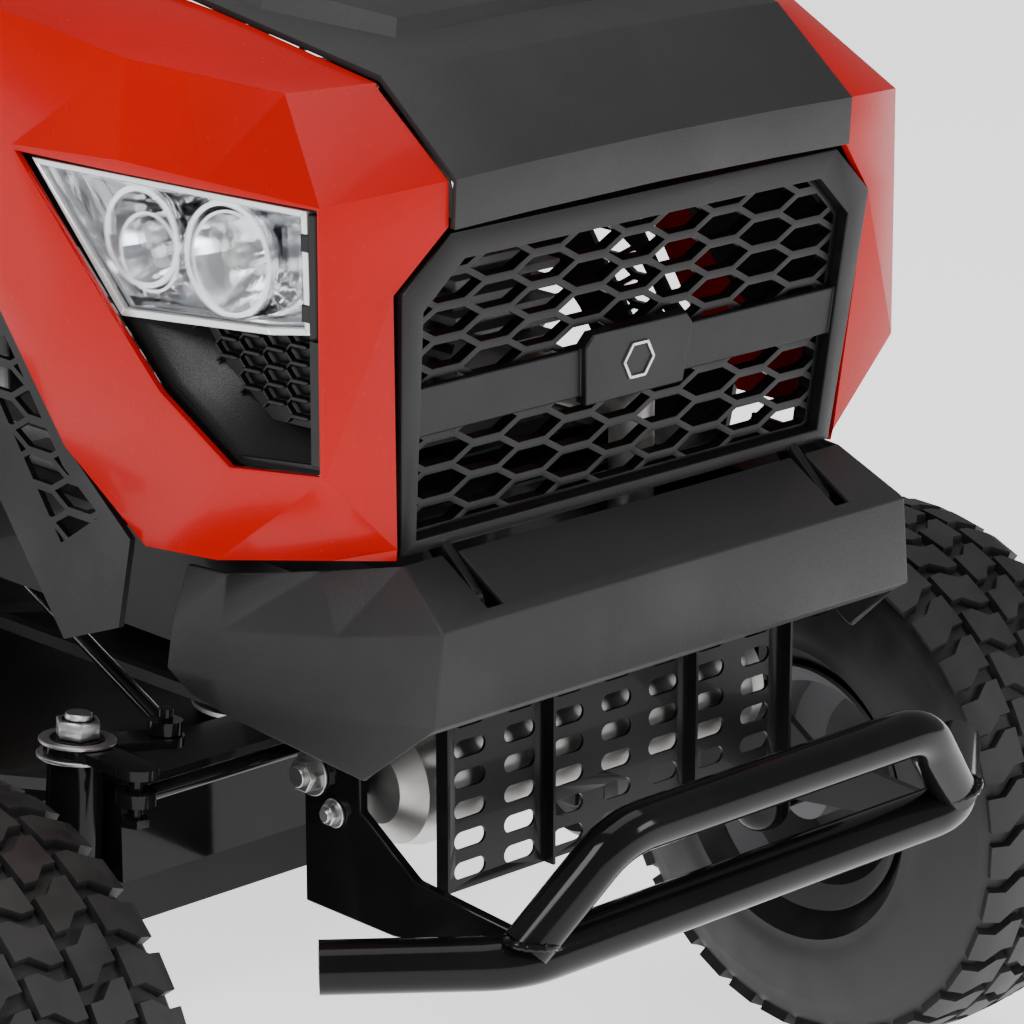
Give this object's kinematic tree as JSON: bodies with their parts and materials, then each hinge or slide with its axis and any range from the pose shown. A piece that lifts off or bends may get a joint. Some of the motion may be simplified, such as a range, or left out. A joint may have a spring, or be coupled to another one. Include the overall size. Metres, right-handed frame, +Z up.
{
  "type": "riding_lawn_mower",
  "caption": "Red riding lawn mower with a front-hinged hood, black grille guard, side-discharge deck, sprung seat and steered front axle",
  "frame": {"origin": "on the ground under the centre of the bounding box", "axes": "+X to the operator's left, +Y to the rear, +Z up; the nose points to -Y"},
  "size_m": [1.2237, 1.7817, 1.1028],
  "materials": {
    "body_red": "gloss hood, fender and deck paint",
    "black_plastic": "fine-grained moulded trim",
    "black_steel": "gloss powder coat",
    "bare_steel": "zinc plated",
    "engine_cast": "cast and blasted",
    "tyre_rubber": "moulded turf tyre",
    "belt_rubber": "matte",
    "rim_paint": "dark grey enamel",
    "lens_clear": "clear moulded lens",
    "reflector_chrome": "vacuum metallised",
    "tank_plastic": "translucent blow moulding",
    "seat_vinyl": "grained vinyl over foam",
    "knob_yellow": "moulded knob",
    "key_steel": "stamped"
  },
  "bodies": {
    "chassis": {"frame": "black_steel", "frame_rails": "black_steel", "front_bumper": "black_plastic", "brush_guard": "black_steel", "heat_shield": "black_steel", "muffler": "bare_steel", "chassis_bolts": "bare_steel", "side_panels": "black_plastic", "engine_block": "engine_cast", "blower_housing": "black_plastic", "battery": "black_plastic", "fuel_tank": "tank_plastic", "transaxle": "engine_cast", "drive_belt": "belt_rubber", "dashboard": "black_plastic", "fender_body": "body_red", "foot_platforms": "black_steel", "deck_belt": "belt_rubber"},
    "cap": {"fuel_cap": "black_plastic"},
    "hood": {"hood_shell": "body_red", "hood_panel": "black_plastic", "grille_frame": "black_plastic", "grille_inserts": "black_plastic", "headlight_lenses": "lens_clear", "headlight_reflectors": "reflector_chrome"},
    "axle": {"front_axle": "black_steel"},
    "knuckle_l": {"knuckle_left": "black_steel"},
    "knuckle_r": {"knuckle_right": "black_steel"},
    "tie": {"tie_rod": "bare_steel"},
    "link": {"drag_link": "bare_steel"},
    "sector": {"steering_sector": "bare_steel"},
    "column": {"steering_shaft": "bare_steel"},
    "handwheel": {"steering_wheel": "black_plastic"},
    "wheel_fl": {"front_tyre_left": "tyre_rubber", "front_rim_left": "rim_paint"},
    "wheel_fr": {"front_tyre_right": "tyre_rubber", "front_rim_right": "rim_paint"},
    "wheel_rl": {"rear_tyre_left": "tyre_rubber", "rear_rim_left": "rim_paint"},
    "wheel_rr": {"rear_tyre_right": "tyre_rubber", "rear_rim_right": "rim_paint"},
    "crank": {"crank_pulley": "bare_steel"},
    "drive_input": {"transaxle_pulley": "bare_steel"},
    "deck": {"deck_shell": "black_steel"},
    "chute_guard": {"deflector": "black_plastic"},
    "cutter_l": {"spindle_left": "bare_steel", "blade_left": "black_steel"},
    "cutter_r": {"spindle_right": "bare_steel", "blade_right": "black_steel"},
    "gauge_l": {"gauge_wheel_left": "black_plastic"},
    "gauge_r": {"gauge_wheel_right": "black_plastic"},
    "lift": {"lift_shaft": "black_steel"},
    "seat": {"seat_cushion": "seat_vinyl", "seat_back": "seat_vinyl", "seat_pan": "black_plastic"},
    "brake": {"brake_pedal": "black_steel"},
    "drive": {"drive_pedal": "black_steel"},
    "throttle": {"throttle_lever": "black_plastic"},
    "key": {"ignition_key": "key_steel"},
    "pto": {"pto_knob": "knob_yellow"}
  },
  "joints": [
    {"name": "axle_pivot", "type": "hinge", "parent": "chassis", "child": "axle", "pos_m": [0.06699, -0.581, 0.322], "axis": [0, 1, 0], "range_deg": [-4, 4]},
    {"name": "steer_left", "type": "hinge", "parent": "axle", "child": "knuckle_l", "pos_m": [0.351, -0.581, 0.37], "axis": [-0.0872, 0, 0.9962], "range_deg": [-30, 30]},
    {"name": "steer_right", "type": "hinge", "parent": "axle", "child": "knuckle_r", "pos_m": [-0.21701, -0.581, 0.37], "axis": [0.0872, 0, 0.9962], "range_deg": [-30, 30]},
    {"name": "tie_rod_pivot", "type": "hinge", "parent": "knuckle_l", "child": "tie", "pos_m": [0.35213, -0.637, 0.35705], "axis": [-0.0872, 0, 0.9962], "range_deg": [-30, 30]},
    {"name": "drag_link_pivot", "type": "hinge", "parent": "knuckle_r", "child": "link", "pos_m": [-0.16216, -0.59549, 0.37629], "axis": [0.0872, 0, 0.9962], "range_deg": [-30, 30]},
    {"name": "sector_pivot", "type": "hinge", "parent": "chassis", "child": "sector", "pos_m": [-0.03836, -0.131, 0.396], "axis": [0, 0, 1], "range_deg": [-30, 30]},
    {"name": "column_turn", "type": "hinge", "parent": "chassis", "child": "column", "pos_m": [0.06699, -0.131, 0.56], "axis": [0, 0, 1], "range_deg": [-180, 180]},
    {"name": "wheel_turn", "type": "hinge", "parent": "chassis", "child": "handwheel", "pos_m": [0.06699, -0.131, 0.73], "axis": [0, 0.6157, 0.788], "range_deg": [-180, 180]},
    {"name": "front_roll_left", "type": "hinge", "parent": "knuckle_l", "child": "wheel_fl", "pos_m": [0.46699, -0.581, 0.187], "axis": [1, 0, 0], "continuous": true},
    {"name": "front_roll_right", "type": "hinge", "parent": "knuckle_r", "child": "wheel_fr", "pos_m": [-0.333, -0.581, 0.187], "axis": [1, 0, 0], "continuous": true},
    {"name": "rear_roll_left", "type": "hinge", "parent": "chassis", "child": "wheel_rl", "pos_m": [0.437, 0.649, 0.228], "axis": [1, 0, 0], "continuous": true},
    {"name": "rear_roll_right", "type": "hinge", "parent": "chassis", "child": "wheel_rr", "pos_m": [-0.30301, 0.649, 0.228], "axis": [1, 0, 0], "continuous": true},
    {"name": "crank_spin", "type": "hinge", "parent": "chassis", "child": "crank", "pos_m": [0.06699, -0.411, 0.3], "axis": [0, 0, 1], "continuous": true},
    {"name": "drive_input_spin", "type": "hinge", "parent": "chassis", "child": "drive_input", "pos_m": [0.06699, 0.629, 0.3], "axis": [0, 0, 1], "continuous": true},
    {"name": "hood_hinge", "type": "hinge", "parent": "chassis", "child": "hood", "pos_m": [0.06699, -0.771, 0.478], "axis": [1, 0, 0], "range_deg": [0, 70]},
    {"name": "lift_lever", "type": "hinge", "parent": "chassis", "child": "lift", "pos_m": [0.06699, 0.209, 0.375], "axis": [1, 0, 0], "range_deg": [-24, 18]},
    {"name": "deck_lift", "type": "slide", "parent": "chassis", "child": "deck", "axis": [0, 0, 1], "range_m": [-0.0278, 0.0371], "deforming": ["deck_belt"]},
    {"name": "spindle_spin_left", "type": "hinge", "parent": "deck", "child": "cutter_l", "pos_m": [0.33399, 0.019, 0.15], "axis": [0, 0, 1], "continuous": true},
    {"name": "spindle_spin_right", "type": "hinge", "parent": "deck", "child": "cutter_r", "pos_m": [-0.2, 0.019, 0.15], "axis": [0, 0, 1], "continuous": true},
    {"name": "gauge_roll_left", "type": "hinge", "parent": "deck", "child": "gauge_l", "pos_m": [0.51699, -0.255, 0.079], "axis": [1, 0, 0], "continuous": true},
    {"name": "gauge_roll_right", "type": "hinge", "parent": "deck", "child": "gauge_r", "pos_m": [-0.383, -0.255, 0.079], "axis": [1, 0, 0], "continuous": true},
    {"name": "deflector_hinge", "type": "hinge", "parent": "deck", "child": "chute_guard", "pos_m": [-0.5015, 0.019, 0.192], "axis": [0, 1, 0], "range_deg": [0, 80]},
    {"name": "seat_tilt", "type": "hinge", "parent": "chassis", "child": "seat", "pos_m": [0.06699, 0.428, 0.502], "axis": [1, 0, 0], "range_deg": [0, 50]},
    {"name": "brake_press", "type": "hinge", "parent": "chassis", "child": "brake", "pos_m": [0.288, -0.041, 0.44], "axis": [1, 0, 0], "range_deg": [0, 12], "stiffness_Nm_per_rad": 25, "springref_deg": -17.19},
    {"name": "drive_press", "type": "hinge", "parent": "chassis", "child": "drive", "pos_m": [-0.15401, -0.041, 0.44], "axis": [1, 0, 0], "range_deg": [-12, 12], "stiffness_Nm_per_rad": 40},
    {"name": "throttle_swing", "type": "hinge", "parent": "chassis", "child": "throttle", "pos_m": [-0.05051, -0.001, 0.887], "axis": [1, 0, 0], "range_deg": [-24, 24]},
    {"name": "key_turn", "type": "hinge", "parent": "chassis", "child": "key", "pos_m": [0.207, -0.001, 0.905], "axis": [0, 0, 1], "range_deg": [-90, 30]},
    {"name": "pto_pull", "type": "slide", "parent": "chassis", "child": "pto", "axis": [0, 0, 1], "range_m": [0, 0.012]},
    {"name": "cap_turn", "type": "hinge", "parent": "chassis", "child": "cap", "pos_m": [0.137, 0.759, 0.52], "axis": [0, 0, 1], "range_deg": [0, 90]}
  ],
  "couplings": [
    {"joint": "steer_left", "follows": "sector_pivot", "ratio": 1},
    {"joint": "steer_right", "follows": "sector_pivot", "ratio": 1},
    {"joint": "tie_rod_pivot", "follows": "sector_pivot", "ratio": -1},
    {"joint": "drag_link_pivot", "follows": "sector_pivot", "ratio": -1},
    {"joint": "column_turn", "follows": "sector_pivot", "ratio": -6},
    {"joint": "wheel_turn", "follows": "sector_pivot", "ratio": -6},
    {"joint": "drive_input_spin", "follows": "crank_spin", "ratio": 0.75},
    {"joint": "spindle_spin_left", "follows": "crank_spin", "ratio": 0.80645},
    {"joint": "spindle_spin_right", "follows": "crank_spin", "ratio": 0.80645},
    {"joint": "deck_lift", "follows": "lift_lever", "m_per_rad": -0.0885}
  ]
}
